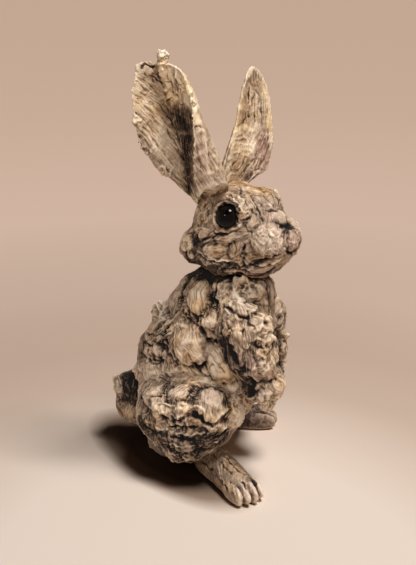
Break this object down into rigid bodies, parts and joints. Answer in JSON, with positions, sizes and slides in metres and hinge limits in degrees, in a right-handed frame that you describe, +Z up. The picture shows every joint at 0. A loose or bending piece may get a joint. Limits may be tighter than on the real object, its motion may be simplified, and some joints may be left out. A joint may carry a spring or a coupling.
{
  "type": "rabbit sculpture",
  "caption": "Resin rabbit sculpture sitting up on its haunches with raised ears, hand-modelled lumpy surface, glossy dark eyes and felt pads under the feet.",
  "frame": {"origin": "middle of the figure's footprint box, on the surface it stands on", "axes": "+Z up; the rabbit faces -Y and its left side is +X"},
  "size_m": [0.1448, 0.1618, 0.3272],
  "materials": {
    "resin": "cast resin, weathered brown with dark wash in the creases and pale dry-brushed edges, matt",
    "ear_resin": "cast resin, creamier brown with dark wash in the grooves, matt",
    "eye_glass": "polished black glass",
    "steel": "cut steel rod",
    "felt": "dark pressed felt"
  },
  "bodies": {
    "root": {"torso": "resin", "right_haunch": "resin", "left_haunch": "resin", "right_foreleg": "resin", "left_foreleg": "resin", "right_hind_foot": "resin", "left_hind_foot": "resin", "tail": "resin", "head": "resin", "right_ear": "ear_resin", "left_ear": "ear_resin", "right_eye": "eye_glass", "left_eye": "eye_glass", "neck_dowel": "steel", "right_ear_pin": "steel", "left_ear_pin": "steel", "right_foreleg_pin": "steel", "left_foreleg_pin": "steel", "right_haunch_pin": "steel", "left_haunch_pin": "steel", "right_foot_rod": "steel", "left_foot_rod": "steel", "tail_pin": "steel", "right_foot_pad": "felt", "left_foot_pad": "felt", "rump_pad": "felt"}
  },
  "joints": []
}
